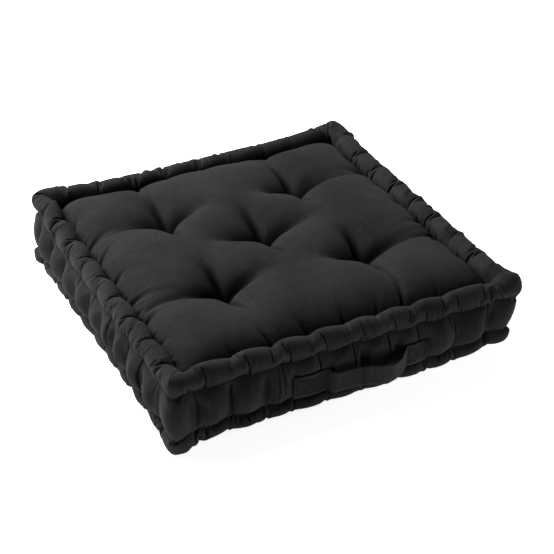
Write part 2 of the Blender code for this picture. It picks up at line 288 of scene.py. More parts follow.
def pull(at, found, width):
    """How hard the stitches pull at a distance round the cushion: about 1 at a stitch, 0 between."""
    strongest = np.zeros_like(at)
    for place, strength in found:
        apart = np.abs(at - place)
        apart = np.minimum(apart, ROUND - apart)
        strongest = np.maximum(strongest, strength * near(apart, width))
    return strongest


def scallop(level, cols):
    """How far a roll's outer seam rises at each column: up at its stitches, down between them."""
    at = column_places(cols // 4)[0]
    return SCALLOP * (np.minimum(pull(at, SEAM_STITCHES[level], SEAM_PULL), 1) - 0.35)


def column_places(per_side):
    """For each column: the distance round, its side, and x along that side out to the corner."""
    share = np.arange(per_side) / per_side
    x = (2 * share - 1) * ROLL_OUT
    side = np.repeat(np.arange(4), per_side)
    x = np.tile(x, 4)
    return side * 2 * ROLL_OUT + ROLL_OUT + x, side, x


def round_square(side, x, out, corner):
    """Places on a square line `out` from the middle with rounded corners, for columns at x."""
    to_corner = (np.abs(x) - STRAIGHT) / (ROLL_OUT - STRAIGHT)
    centre = out - corner
    run = np.clip(to_corner, 0, 1) * (centre - STRAIGHT + corner * math.pi / 4)
    turned = np.clip((run - (centre - STRAIGHT)) / np.maximum(corner, 1e-6), 0, math.pi / 4)
    along = STRAIGHT + np.minimum(run, centre - STRAIGHT) + corner * np.sin(turned)
    along = np.where(to_corner > 0, along, np.abs(x)) * np.sign(x)
    away = centre + corner * np.cos(turned)
    c, s = np.cos(side * math.pi / 2), np.sin(side * math.pi / 2)
    return c * along + s * away, s * along - c * away


def outward(x):
    return np.maximum(np.abs(x[..., 0]), np.abs(x[..., 1]))


def tighten(points, row, level, inward):
    """Draws one edge of a strip inward at the seam's stitches, and returns how tight it is."""
    tight = pull(column_places(points.shape[1] // 4)[0], SEAM_STITCHES[level], SEAM_PULL)
    points[row, :, :2] *= (1 - inward * tight / outward(points[row]))[:, None]
    return tight


def strip_points(shape, start, seed):
    """A strip to begin from: its sewn shape, a little ruffled, or a coarser result on its grid."""
    if start is None:
        rng = np.random.default_rng(seed)
        shape[1:-1] += rng.normal(0, 0.0003, shape[1:-1].shape)
        return shape
    points = refine(start, shape.shape[0], shape.shape[1], True)
    points[0], points[-1] = shape[0], shape[-1]
    return points


def sewn_edges(points):
    """Marks a strip's first and last rows, which its seams hold."""
    fixed = np.zeros(points.shape[:2], bool)
    fixed[0] = fixed[-1] = True
    return fixed


# ---------------- rolls

# How far the twine moves along the roll as it crosses it, and the distance between pleats.
ROLL_SLANT = 0.040
PLEAT = 0.0082


def roll_section(level, rows):
    """(out, z) of a roll's cloth from its inner seam, over it, to its outer seam."""
    if level == "top":
        inner = (INNER_SEAM_OUT, TOP_PANEL_EDGE_Z)
        outer = (OUTER_SEAM_OUT, BORDER_TOP + 0.0006)
        z, tall = TOP_ROLL_Z, ROLL_RADIUS
    else:
        inner = (INNER_SEAM_OUT, BOTTOM_PANEL_EDGE_Z)
        outer = (OUTER_SEAM_OUT, BORDER_BOTTOM - 0.0006)
        z, tall = BOTTOM_ROLL_Z, BOTTOM_ROLL_HALF_HEIGHT
    start = math.atan2(UP[level] * (inner[1] - z) / tall, (inner[0] - ROLL_OUT) / ROLL_RADIUS)
    finish = math.atan2(UP[level] * (outer[1] - z) / tall, (outer[0] - ROLL_OUT) / ROLL_RADIUS)
    angle = np.linspace(start % math.tau, finish, rows)
    out = ROLL_OUT + ROLL_RADIUS * np.cos(angle)
    height = z + UP[level] * tall * np.sin(angle)
    # The ends lie on the seams themselves.
    share = np.linspace(0, 1, rows)
    for end, (seam_out, seam_z), weight in ((0, inner, (1 - share) ** 6), (-1, outer, share**6)):
        out = out + (seam_out - out[end]) * weight
        height = height + (seam_z - height[end]) * weight
    return out, height


def roll_shape(level, per_side, rows):
    _, side, x = column_places(per_side)
    out, height = roll_section(level, rows)
    out = np.repeat(out[:, None], 4 * per_side, 1)
    height = np.repeat(height[:, None], 4 * per_side, 1)
    # Only the roll's outermost cloth rounds the corner. The rest turns it sharply.
    corner = np.maximum(out - 0.2925, 0.0005)
    px, py = round_square(side[None], x[None], out, corner)
    return np.stack([px, py, height], -1)


def sew_roll(level, points):
    """Tightens the two seams at the stitches. Changes the first and last rows."""
    tight = tighten(points, 0, level, -INNER_SEAM_GIVE)
    points[0, :, 2] -= UP[level] * SEAM_DIP * tight
    tighten(points, -1, level, OUTER_SEAM_GIVE)
    points[-1, :, 2] += scallop(level, points.shape[1])


def roll_cloth(level, per_side, rows, start=None):
    shape = roll_shape(level, per_side, rows)
    at = column_places(per_side)[0]
    across, along = lengths(shape, True)
    # The twine wraps the roll on a slant, so a stitch's crease crosses it on a slant too.
    where = at[None] - ROLL_SLANT * (np.linspace(0, 1, rows)[:, None] - 0.5)
    grip = pull(where, SEAM_STITCHES[level], 0.0130)
    gather = pull(where, SEAM_STITCHES[level], 0.027)
    # Some stretches are bunched up more than others.
    bunched = 0.55 + 0.45 * np.sin(at * 13.0 + 0.6) * np.sin(at * 5.3 + 1.1)
    # The twine draws the cloth tight across the roll and gathers it along the roll.
    across = across * (1.06 - 0.14 * (grip[1:] + grip[:-1]) / 2)
    along = along * (1.05 + 0.33 * gather * bunched)
    sew_roll(level, shape)
    flip = -UP[level]
    points = strip_points(shape, start, 11)
    # Pleats start out slanted, as the twine does.
    phase = where * math.tau / PLEAT + 1.7 * np.sin(at * 29.0)
    pleats = 0.0012 * np.sin(phase) * gather * bunched
    points[1:-1] += (pleats[..., None] * surface_normals(points, True) * flip)[1:-1]
    return Cloth(points, across, along, sewn_edges(points), loop=True, flip=flip, bend=0.08)


def roll_keep(level):
    """A roll stays outside its panel, off the border, and off the floor."""

    def keep(x):
        out = outward(x)
        grow = np.maximum(INNER_SEAM_OUT - 0.0006, out) / np.maximum(out, 1e-6)
        x[..., 0] *= grow
        x[..., 1] *= grow
        over = out > OUTER_SEAM_OUT + 0.0015
        seam = scallop(level, x.shape[1])
        if level == "top":
            np.maximum(x[..., 2], np.where(over, BORDER_TOP + 0.0010 + seam, -1), out=x[..., 2])
        else:
            np.minimum(x[..., 2], np.where(over, BORDER_BOTTOM - 0.0010 + seam, 1), out=x[..., 2])
            np.maximum(x[..., 2], 0.0006, out=x[..., 2])

    return keep


def full(x):
    """The stuffing pushes everywhere alike."""
    return np.ones(x.shape[:2], x.dtype)


def simulate_roll(level):
    keep = roll_keep(level)
    x = roll_cloth(level, SIDE_COLUMNS // 2, 14).settle(120, 2e-5, full, keep)
    x = roll_cloth(level, SIDE_COLUMNS, 27, x).settle(160, 1.0e-5, full, keep)
    return x


# ---------------- border

# How far out the stitches hold the border, how much further it may come between them, where the
# batting stops pushing, and how much rounder its lobes are made afterwards.
VALLEY_OUT = 0.2932
LOBE = 0.0153
FILLED_OUT = 0.3110
PLUMP = 0.0068


def border_shape(per_side, rows):
    _, side, x = column_places(per_side)
    share = np.linspace(0, 1, rows)[:, None]
    swell = np.sin(math.pi * share)
    out = OUTER_SEAM_OUT + 0.0060 * swell + 0 * x[None]
    height = BORDER_TOP + (BORDER_BOTTOM - BORDER_TOP) * share + 0 * x[None]
    corner = 0.0040 + 0.0110 * swell + 0 * x[None]
    px, py = round_square(side[None], x[None], out, corner)
    return np.stack([px, py, height], -1)


def sew_border(points):
    """Tightens the two seams at the rolls' stitches. Changes the first and last rows."""
    for row, level in ((0, "top"), (-1, "bottom")):
        tighten(points, row, level, OUTER_SEAM_GIVE)
        points[row, :, 2] += scallop(level, points.shape[1])


def border_cloth(per_side, rows, start=None):
    shape = border_shape(per_side, rows)
    at, _, x = column_places(per_side)
    across, along = lengths(shape, True)
    grip = pull(at, BORDER_STITCHES, 0.021)
    tall = (BORDER_TOP - BORDER_BOTTOM) / (rows - 1)
    across = tall * (1.145 - 0.135 * grip)[None] + 0 * across
    swell = np.sin(math.pi * np.linspace(0, 1, rows))[:, None]
    corner = near(np.abs(x) - ROLL_OUT, 0.035)
    along = along * (1.02 + 0.10 * swell * (1 + 0.8 * corner))
    sew_border(shape)
    points = strip_points(shape, start, 13)
    return Cloth(points, across, along, sewn_edges(points), loop=True, flip=-1.0, bend=0.14)


def border_keep(x):
    """The border stays under the top roll and over the bottom one, and its stitches hold it in."""
    held = pull(column_places(x.shape[1] // 4)[0], BORDER_STITCHES, 0.019)
    most = VALLEY_OUT + LOBE * (1 - np.minimum(held, 1)) ** 0.7
    out = outward(x)
    over = np.minimum(most / out, 1)
    x[..., 0] *= over
    x[..., 1] *= over
    tuck = out > OUTER_SEAM_OUT
    low = BORDER_BOTTOM + 0.0002 + scallop("bottom", x.shape[1])
    high = BORDER_TOP - 0.0002 + scallop("top", x.shape[1])
    x[..., 2] = np.where(tuck, np.clip(x[..., 2], low, high), x[..., 2])
    leave_room_for_handle(x)


def leave_room_for_handle(x):
    """The handle's sewn ends press the border flat, and behind the handle's loop it bulges less."""
    wide = np.abs(x[..., 0] - HANDLE_MIDDLE) < HANDLE_HALF_LENGTH
    loop = np.abs(x[..., 0] - LOOP_MIDDLE) < LOOP_HALF_LENGTH
    end = wide & ~loop & (np.abs(x[..., 2] - HANDLE_Z) < HANDLE_WIDTH / 2 + 0.003)
    limit = np.where(end, BEHIND_ENDS, np.where(loop, BEHIND_LOOP, 1.0))
    x[..., 1] = np.where((x[..., 1] < 0) & wide, np.maximum(x[..., 1], -limit), x[..., 1])


def border_fill(x):
    """The batting pushes the border out until it is a little beyond the rolls."""
    return np.clip((FILLED_OUT - outward(x)) / 0.008, 0, 1)


def simulate_border():
    x = border_cloth(SIDE_COLUMNS // 2, 14).settle(160, 2.4e-5, border_fill, border_keep)
    x = border_cloth(SIDE_COLUMNS, 27, x).settle(200, 1.2e-5, border_fill, border_keep)
    return plumped(x)


def plumped(x):
    """The same border with rounder lobes: further out half-way up, but not at stitches or corners."""
    at, _, along_side = column_places(x.shape[1] // 4)
    held = pull(at, BORDER_STITCHES, 0.022) + near(np.abs(along_side) - ROLL_OUT, 0.030)
    swell = np.sin(math.pi * np.linspace(0, 1, len(x)))[:, None]
    out = outward(x)
    further = PLUMP * swell * (1 - np.minimum(held, 1))
    x[..., :2] *= (1 + further / out)[..., None]
    leave_room_for_handle(x)
    return x


# ---------------- panels

# How much longer a panel's threads are than the distance they span.
FULLNESS = {"top": 0.095, "bottom": 0.030}


def panel_cloth(level, cells, start=None):
    """A panel sewn all round to its roll's inner seam and tied down at its five tufts."""
    n = 2 * cells + 1
    step = PANEL_HALF / cells
    line = np.linspace(-PANEL_HALF, PANEL_HALF, n)
    x, y = np.meshgrid(line, line)
    away = np.maximum(np.abs(x), np.abs(y))
    side = np.select([y <= -np.abs(x), x >= np.abs(y), y >= np.abs(x)], [0, 1, 2], 3)
    along_side = np.select([side == 0, side == 1, side == 2], [x, y, -x], -y)
    at = side * 2 * ROLL_OUT + ROLL_OUT + along_side * ROLL_OUT / PANEL_HALF
    rim = away > PANEL_HALF - 1e-6
    tight = pull(at, SEAM_STITCHES[level], SEAM_PULL)
    up = UP[level]
    if level == "top":
        edge_z, tuft_z, rise = TOP_PANEL_EDGE_Z, TOP_TUFT_Z, 0.030
    else:
        edge_z, tuft_z, rise = BOTTOM_PANEL_EDGE_Z, BOTTOM_TUFT_Z, 0.022
    seam = edge_z - up * SEAM_DIP * tight
    inward = 1 - INNER_SEAM_GIVE * tight / PANEL_HALF
    seam_line = np.stack([x * inward, y * inward, seam], -1)
    if start is None:
        inset = np.clip((PANEL_HALF - away) / 0.045, 0, 1)
        z = seam + up * rise * np.sqrt(1 - (1 - inset) ** 2)
        points = np.stack([x, y, z], -1)
        rng = np.random.default_rng(17)
        points[..., 2] += rng.normal(0, 0.0005, z.shape)
    else:
        points = refine(start, n, n, False)
    points[rim] = seam_line[rim]
    fixed = rim.copy()
    for tx, ty in TUFTS:
        d = np.hypot(x - tx, y - ty)
        if start is None:
            points[..., 2] += (tuft_z - points[..., 2]) * near(d, 0.03)
        tied = d < 0.0035
        fixed |= tied
        points[tied] = np.stack([tx + (x - tx) * 0.5, ty + (y - ty) * 0.5, 0 * x + tuft_z], -1)[tied]
    # Threads that run through a tuft are drawn down by it, so they have no slack; the rest have.
    slack = FULLNESS[level] * (1 + 0.30 * near(PANEL_HALF - away, 0.022))
    for tx, ty in TUFTS:
        slack = slack + 3.6 * FULLNESS[level] * near(np.hypot(x - tx, y - ty), 0.036)
    tight_x = sum(near(y - ty, 0.015) * near(x - tx, 0.075) for tx, ty in TUFTS)
    tight_y = sum(near(x - tx, 0.015) * near(y - ty, 0.075) for tx, ty in TUFTS)
    along = step * (1 + slack * (1 - 0.65 * np.minimum(tight_x, 1)))
    across = step * (1 + slack * (1 - 0.65 * np.minimum(tight_y, 1)))
    along = (along[:, 1:] + along[:, :-1]) / 2
    across = (across[1:] + across[:-1]) / 2
    return Cloth(points, across, along, fixed, flip=up, bend=0.18)


def panel_fill(level):
    """The batting holds the top panel up to a height, and presses the bottom one on the floor."""
    if level == "bottom":
        return full
    return lambda x: np.clip((0.1460 - x[..., 2]) / 0.030, 0, 1)


def panel_keep(level):
    """A panel stays inside its roll, and the bottom one stays on the floor."""
    limit = PANEL_HALF + 0.0003

    def keep(x):
        np.clip(x[..., 0], -limit, limit, out=x[..., 0])
        np.clip(x[..., 1], -limit, limit, out=x[..., 1])
        if level == "bottom":
            np.maximum(x[..., 2], 0.0004, out=x[..., 2])

    return keep


def simulate_panel(level):
    keep, fill = panel_keep(level), panel_fill(level)
    x = panel_cloth(level, 26).settle(150, 4e-5, fill, keep)
    x = panel_cloth(level, 52, x).settle(150, 2e-5, fill, keep)
    if level == "top":
        x = panel_cloth(level, 104, x).settle(200, 1e-5, fill, keep)
    return eased(x)


def eased(x):
    """The same panel with its sharpest creases rounded, except at the seam and the tufts."""
    share = np.clip((PANEL_HALF - outward(x)) / 0.03, 0, 1)
    for tx, ty in TUFTS:
        share = share * (1 - near(np.hypot(x[..., 0] - tx, x[..., 1] - ty), 0.012))
    return x + share[..., None] * (blurred(x, False, 2) - x)


# ---------------- corners

# How each corner has settled, by its x side and y side: (dx, dy, dz) at its top, then at its bottom.
CORNERS = {
    (-1, -1): ((-0.001, -0.002, 0.000), (-0.009, -0.017, 0.000)),
    (-1, 1): ((0.009, 0.001, 0.011), (-0.002, 0.000, 0.003)),
    (1, 1): ((0.001, 0.004, 0.007), (0.000, 0.000, 0.000)),
    (1, -1): ((0.009, -0.004, 0.001), (-0.010, 0.001, 0.013)),
}
EAR_REACH = 0.034
LIFT_REACH = 0.085


def settle_corners(points):
    """Some of the cushion's corners stick out as ears, and some have lifted."""
    level = np.clip((points[..., 2] - 0.015) / 0.095, 0, 1)
    level = (level * level * (3 - 2 * level))[..., None]
    high = level * level
    moved = points.copy()
    for (sx, sy), (top, bottom) in CORNERS.items():
        apart = np.hypot(points[..., 0] - sx * ROLL_OUT, points[..., 1] - sy * ROLL_OUT)
        ear = np.array(bottom[:2]) * (1 - high) + np.array(top[:2]) * high
        lift = bottom[2] * (1 - level[..., 0]) + top[2] * level[..., 0]
        moved[..., :2] += ear * near(apart, EAR_REACH)[..., None]
        moved[..., 2] += lift * near(apart, LIFT_REACH)
    return moved


# ---------------- meshes

# The names of a piece's UV map and of its attribute for the painted shade in pits and creases.
WEAVE = "weave"
PAINTED_SHADE_ATTRIBUTE = "hollow_shade"

# Depths at which the painted shade of a crease or a pit is at its darkest, and how many cells of the
# grid a pit spans.
CREASE_DEEP = 0.0022
PIT_DEEP = 0.0160
PIT_REACH = 16
RING_PIT_REACH = 8


def add_piece(name, co, faces, body="cushion"):
    mesh = bpy.data.meshes.new(name)
    mesh.from_pydata(np.asarray(co, float).tolist(), [], faces)
    mesh.validate()
    mesh.shade_smooth()
    obj = bpy.data.objects.new(name, mesh)
    bpy.context.scene.collection.objects.link(obj)
    if body:
        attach(obj, body)
    return obj


def blurred(points, loop, reach):
    """The grid's points averaged with their neighbours, out to about 2 x reach cells."""
    x = points
    step = 1
    while step <= reach:
        for axis, wraps in ((0, False), (1, loop)):
            pad = [(0, 0)] * 3
            pad[axis] = (step, step)
            wide = np.pad(x, pad, mode="wrap" if wraps else "edge")
            n = x.shape[axis]
            back = np.take(wide, range(n), axis)
            ahead = np.take(wide, range(2 * step, n + 2 * step), axis)
            x = (back + 2 * x + ahead) / 4
        step *= 2
    return x


def painted_hollow_shade(points, loop, outward_sign, deep, reach):
    """0 on the open cloth to 1 deep in a pit or a crease: how much painted shade darkens the colour
    there.
    """
    up = surface_normals(points, loop) * outward_sign
    crease = np.einsum("...i,...i", blurred(points, loop, 2) - points, up)
    pit = np.einsum("...i,...i", blurred(points, loop, reach) - points, up)
    return np.clip(np.clip(crease / CREASE_DEEP, -0.1, 0.3) + np.clip(pit / deep, -0.1, 0.8), 0, 1)


def cloth_mesh(name, points, loop=False, thickness=CLOTH, offset=-1, body="cushion", deep=PIT_DEEP):
    """A piece of cloth from a grid of points, with its weave laid out in metres."""
    rows, cols = points.shape[:2]
    row, col = np.meshgrid(np.arange(rows - 1), np.arange(cols if loop else cols - 1), indexing="ij")
    corners = [(row, col), (row, col + 1), (row + 1, col + 1), (row + 1, col)]
    quads = np.stack([r * cols + c % cols for r, c in corners], -1).reshape(-1, 4)
    obj = add_piece(name, points.reshape(-1, 3) + np.array(MIDDLE), quads.tolist(), body)
    across, along = (float(np.median(d)) for d in lengths(points, loop))
    laid = np.stack([np.stack([c * along, r * across], -1) for r, c in corners], -2)
    uv = obj.data.uv_layers.new(name=WEAVE)
    uv.uv.foreach_set("vector", laid.reshape(-1).astype(np.float32))
    # The painted shade for pits and creases, kept on the mesh for its material.
    shade_layer = obj.data.attributes.new(PAINTED_SHADE_ATTRIBUTE, "FLOAT", "POINT")
    hollow_shade = painted_hollow_shade(points, loop, -offset or 1, deep, RING_PIT_REACH if loop else PIT_REACH)
    shade_layer.data.foreach_set("value", hollow_shade.reshape(-1).astype(np.float32))
    solid = obj.modifiers.new("thickness", "SOLIDIFY")
    solid.thickness = thickness
    solid.offset = offset
    return obj


def tube(name, path, radius, sides=6, loop=False, body="cushion"):
    """A round thread along a path of points, with closed ends unless it is a loop."""
    path = np.asarray(path, float)
    if loop:
        ahead = np.roll(path, -1, 0) - np.roll(path, 1, 0)
    else:
        ahead = np.gradient(path, axis=0)
    ahead /= np.linalg.norm(ahead, axis=1)[:, None]
    across = np.cross(ahead, (0.12, 0.31, 1.0))
    across /= np.linalg.norm(across, axis=1)[:, None]
    up = np.cross(across, ahead)
    angle = np.arange(sides) * math.tau / sides
    ring = np.cos(angle)[None, :, None] * across[:, None] + np.sin(angle)[None, :, None] * up[:, None]
    co = (path[:, None] + radius * ring).reshape(-1, 3) + np.array(MIDDLE)
    n = len(path)
    faces = []
    for i in range(n if loop else n - 1):
        for j in range(sides):
            k, near_row, far_row = (j + 1) % sides, i * sides, (i + 1) % n * sides
            faces.append((near_row + j, near_row + k, far_row + k, far_row + j))
    if not loop:
        faces.append(tuple(range(sides))[::-1])
        faces.append(tuple(range((n - 1) * sides, n * sides)))
    return add_piece(name, co, faces, body)


def merge(name, pieces):
    """Joins small pieces, such as the dashes of a line of stitches, into one."""
    co, faces = [], []
    for piece in pieces:
        start = len(co)
        co += [tuple(v.co) for v in piece.data.vertices]
        faces += [tuple(start + v for v in f.vertices) for f in piece.data.polygons]
        mesh = piece.data
        bpy.data.objects.remove(piece)
        bpy.data.meshes.remove(mesh)
    return add_piece(name, co, faces)


# ---------------- materials


class Graph:
    """Builds a material's node tree, one call a node."""

    def __init__(self, name):
        self.material = bpy.data.materials.new(name)
        self.material.use_nodes = True
        self.tree = self.material.node_tree
        self.shader = self.tree.nodes["Principled BSDF"]

    def put(self, socket, value):
        if isinstance(value, bpy.types.NodeSocket):
            self.tree.links.new(value, socket)
        else:
            socket.default_value = value

    def add(self, kind, output=0, settings=None, **inputs):
        node = self.tree.nodes.new(kind)
        for key, value in (settings or {}).items():
            setattr(node, key, value)
        for key, value in inputs.items():
            key = key.replace("_", " ")
            self.put(node.inputs[int(key[1:]) if key[1:].isdigit() else key], value)
        return node.outputs[output]

    def shade(self, **inputs):
        """Sets the shader's own inputs, as constants or links."""
        for key, value in inputs.items():
            self.put(self.shader.inputs[key.replace("_", " ")], value)

    def math(self, operation, a, b=0.0, c=0.0):
        return self.add("ShaderNodeMath", settings={"operation": operation}, i0=a, i1=b, i2=c)

    def noise(self, at, scale, detail=2.0, rough=0.5):
        return self.add("ShaderNodeTexNoise", Vector=at, Scale=scale, Detail=detail, Roughness=rough)

    def scaled(self, at, x, y, z=1.0):
        settings = {"operation": "MULTIPLY"}
        return self.add("ShaderNodeVectorMath", settings=settings, i0=at, i1=(x, y, z))

    def ramp(self, value, low, high, to_low=0.0, to_high=1.0):
        return self.add("ShaderNodeMapRange", i0=value, i1=low, i2=high, i3=to_low, i4=to_high)

    def mix(self, share, a, b):
        node = self.tree.nodes.new("ShaderNodeMix")
        node.data_type = "RGBA"
        self.put(node.inputs[0], share)
        self.put(node.inputs[6], a)
        self.put(node.inputs[7], b)
        return node.outputs[2]


def grey(value, warmth=0.0):
    return (value * (1 + warmth), value, value * (1 - warmth), 1)


def woven(name, dark, light, thread, bump=1.0):
    """Black cotton: a plain weave with uneven threads, worn lighter along its ridges, with lint."""
    g = Graph(name)
    uv = g.add("ShaderNodeUVMap", settings={"uv_map": WEAVE})
    solid = g.add("ShaderNodeTexCoord", 3)

    # Threads over and under each other. Their lines wander a little.
    wander = g.noise(uv, 45.0, 2.0)
    place = g.add("ShaderNodeSeparateXYZ", Vector=uv)
    warp_at = g.math("MULTIPLY_ADD", wander, thread * 1.6, place)
    weft_at = g.math("MULTIPLY_ADD", wander, thread * -1.6, place.node.outputs[1])
    warp = g.math("SINE", g.math("MULTIPLY", warp_at, math.pi / thread))
    across = g.math("SINE", g.math("MULTIPLY", weft_at, math.pi / thread))
    weave = g.math("MULTIPLY", warp, across)

    # Thicker and thinner yarns run both ways.
    slub_along = g.noise(g.scaled(uv, 40.0, 900.0), 1.0, 3.0)
    slub_across = g.noise(g.scaled(uv, 900.0, 40.0), 1.0, 3.0)
    slubs = g.math("ADD", slub_along, slub_across)

    # Colour: uneven dye, yarns, wear on the ridges, dust in patches and lint.
    patches = g.noise(solid, 9.0, 4.0, 0.6)
    rubbed = g.noise(solid, 38.0, 3.0, 0.6)
    pointiness = g.add("ShaderNodeNewGeometry", 7)
    worn = g.ramp(pointiness, 0.50, 0.60)
    tone = g.math("MULTIPLY_ADD", g.ramp(patches, 0.36, 0.64), 0.30, 0.04)
    tone = g.math("MULTIPLY_ADD", g.ramp(slubs, 0.78, 1.22), 0.34, tone)
    tone = g.math("MULTIPLY_ADD", g.math("MULTIPLY", worn, g.ramp(rubbed, 0.25, 0.75)), 0.55, tone)
    tone = g.math("MULTIPLY_ADD", weave, 0.10, tone)
    colour = g.mix(tone, grey(dark, -0.01), grey(light, -0.01))
    lint = g.noise(solid, 420.0, 2.0)
    colour = g.mix(g.ramp(lint, 0.73, 0.78, 0.0, 0.35), colour, grey(0.16))
    # Painted shade: pits and creases are darkened towards black.
    hollow_shade = g.add("ShaderNodeAttribute", 2, settings={"attribute_name": PAINTED_SHADE_ATTRIBUTE})
    colour = g.mix(g.ramp(hollow_shade, 0.05, 0.85, 0.0, 0.88), colour, grey(dark * 0.12))
    g.shade(Base_Color=colour, Roughness=g.ramp(slubs, 0.7, 1.3, 0.98, 0.86), Specular_IOR_Level=0.05)
    g.shade(Sheen_Weight=0.04, Sheen_Roughness=0.45, Sheen_Tint=(0.55, 0.55, 0.56, 1))

    # Relief: fine rumples, yarns, then the weave itself.
    rumple = g.noise(solid, 55.0, 3.0, 0.55)
    relief = g.add("ShaderNodeBump", Height=rumple, Distance=0.0016 * bump, Strength=0.5)
    relief = g.add("ShaderNodeBump", Height=slubs, Distance=0.00022 * bump, Strength=0.7, Normal=relief)
    relief = g.add("ShaderNodeBump", Height=weave, Distance=0.00014 * bump, Strength=0.8, Normal=relief)
    g.shade(Normal=relief)
    return g.material


def twisted(name, value, ply):
    """Thread or twine: plies twisted round each other."""
    g = Graph(name)
    solid = g.add("ShaderNodeTexCoord", 3)
    settings = {"wave_type": "BANDS", "bands_direction": "DIAGONAL"}
    plies = g.add("ShaderNodeTexWave", 1, settings=settings, Vector=solid, Scale=1 / ply, Distortion=1.5)
    fuzz = g.noise(solid, 900.0, 2.0)
    tone = g.math("MULTIPLY_ADD", fuzz, 0.5, g.math("MULTIPLY", plies, 0.5))
    colour = g.mix(tone, grey(value * 0.6), grey(value * 1.5))
    relief = g.add("ShaderNodeBump", Height=plies, Distance=0.0004)
    g.shade(Base_Color=colour, Roughness=0.75, Specular_IOR_Level=0.15, Normal=relief)
    return g.material


def batting_material():
    """Off-white cotton fill, felted, with seed specks."""
    g = Graph("batting")
    solid = g.add("ShaderNodeTexCoord", 3)
    fibres = g.noise(g.scaled(solid, 1.0, 4.0, 9.0), 60.0, 6.0, 0.7)
    specks = g.ramp(g.noise(solid, 260.0, 1.0), 0.74, 0.78)
    colour = g.mix(fibres, (0.56, 0.52, 0.44, 1), (0.80, 0.78, 0.72, 1))
    colour = g.mix(specks, colour, (0.20, 0.15, 0.09, 1))
    relief = g.add("ShaderNodeBump", Height=fibres, Distance=0.003, Strength=0.8)
    g.shade(Base_Color=colour, Roughness=0.95, Sheen_Weight=0.3, Normal=relief)
    return g.material


# ---------------- pieces


def flat_size(points):
    """A piece's width and length laid flat: its cloth has kept its sewn lengths."""
    across, along = lengths(points, False)
    return float(across.sum(0).mean()), float(along.sum(1).mean())


def dress(piece, material, replaced):
    piece.data.materials.clear()
    piece.data.materials.append(material)
    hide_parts(*replaced)
    return piece


def ring_piece(name, points, offset, deep):
    """A strip of cloth that runs all round the cushion, for the frame's four sides of it."""
    piece = cloth_mesh(f"{name}_cloth", points, loop=True, offset=offset, deep=deep)
    sides = [f"{name}_{side}" for side in ("front", "right", "back", "left")]
    dress(piece, cotton, sides)
    flat_size(points)


def block_under(name, surface, flat_z, lift, inset):
    """A layer of batting: one face follows a panel from inside, the other is flat."""
    top = surface[::2, ::2].copy() if len(surface) < 150 else surface[::4, ::4].copy()
    n = len(top)
    top[..., :2] *= 1 - inset / PANEL_HALF
    side = np.sign(lift)
    top[..., 2] = side * np.maximum(side * (top[..., 2] + lift), side * flat_z + 0.0015)
    base = top.copy()
    base[..., 2] = flat_z
    index = np.arange(n * n).reshape(n, n)
    quads = np.stack([index[:-1, :-1], index[:-1, 1:], index[1:, 1:], index[1:, :-1]], -1).reshape(-1, 4)
    rim = np.concatenate([index[0, :-1], index[:-1, -1], index[-1, :0:-1], index[:0:-1, 0]])
    low = n * n
    faces = quads.tolist() + (quads[:, ::-1] + low).tolist()
    for a, b in zip(rim, np.roll(rim, -1)):
        faces.append((b, a, a + low, b + low))
    if side > 0:
        faces = [tuple(f)[::-1] for f in faces]
    co = np.concatenate([top.reshape(-1, 3), base.reshape(-1, 3)]) + np.array(MIDDLE)
    return add_piece(name, co, faces)


def core_block(name, border, low_z, high_z):
    """The middle layer of batting, which follows the border from inside."""
    ring = border[:, ::4]
    cols = ring.shape[1]
    levels = np.linspace(low_z, high_z, 5)
    layers = []
    for z in levels:
        row = np.abs(ring[..., 2] - z).argmin(0)
        layer = ring[row, np.arange(cols)].copy()
        out = outward(layer)
        tightest = np.min([np.roll(out, k) for k in range(-4, 5)], axis=0)
        layer[:, :2] *= ((tightest - 0.0065) / out)[:, None]
        layer[:, 2] = z
        layers.append(layer)
    count = len(levels)
    co = np.concatenate([*layers, [(0, 0, low_z), (0, 0, high_z)]]) + np.array(MIDDLE)
    faces = []
    for j in range(cols):
        k = (j + 1) % cols
        for i in range(count - 1):
            faces.append((i * cols + j, i * cols + k, (i + 1) * cols + k, (i + 1) * cols + j))
        faces.append((k, j, count * cols))
        faces.append(((count - 1) * cols + j, (count - 1) * cols + k, count * cols + 1))
    return add_piece(name, co, faces)


def stuffing(name, points, middle_z):
    """A roll's filling: the roll's own section, drawn in towards its middle, as a closed rope."""
    out = outward(points)
    core = points * (ROLL_OUT / out)[..., None]
    core[..., 2] = middle_z
    away = points - core
    reach = np.linalg.norm(away, axis=-1, keepdims=True)
    away /= reach
    # It stays inside the deepest gather nearby.
    for axis, cells in ((0, 3), (1, 8)):
        reach = np.min([np.roll(reach, k, axis) for k in range(-cells, cells + 1)], axis=0)
    section = (core + away * (0.82 * reach - 0.0012))[::2, ::4]
    rows, cols = section.shape[:2]
    faces = []
    for i in range(rows):
        for j in range(cols):
            k, m = (i + 1) % rows, (j + 1) % cols
            faces.append((i * cols + j, i * cols + m, k * cols + m, k * cols + j))
    return add_piece(name, section.reshape(-1, 3) + np.array(MIDDLE), faces)


def seam_twine(name, line, level, sink):
    """Twine along a seam. It shows at the stitches and dives by `sink` into the groove between them."""
    at = column_places(line.shape[0] // 4)[0]
    shown = pull(at, SEAM_STITCHES[level], SEAM_PULL)
    path = line + np.outer(1 - np.minimum(shown, 1), sink)
    return tube(name, path[::2], 0.0010, loop=True)


# ---------------- handle

STRAP_THICK = 0.0020
STRAP_FACE = 0.3010
STRAP_FAR = 0.3270
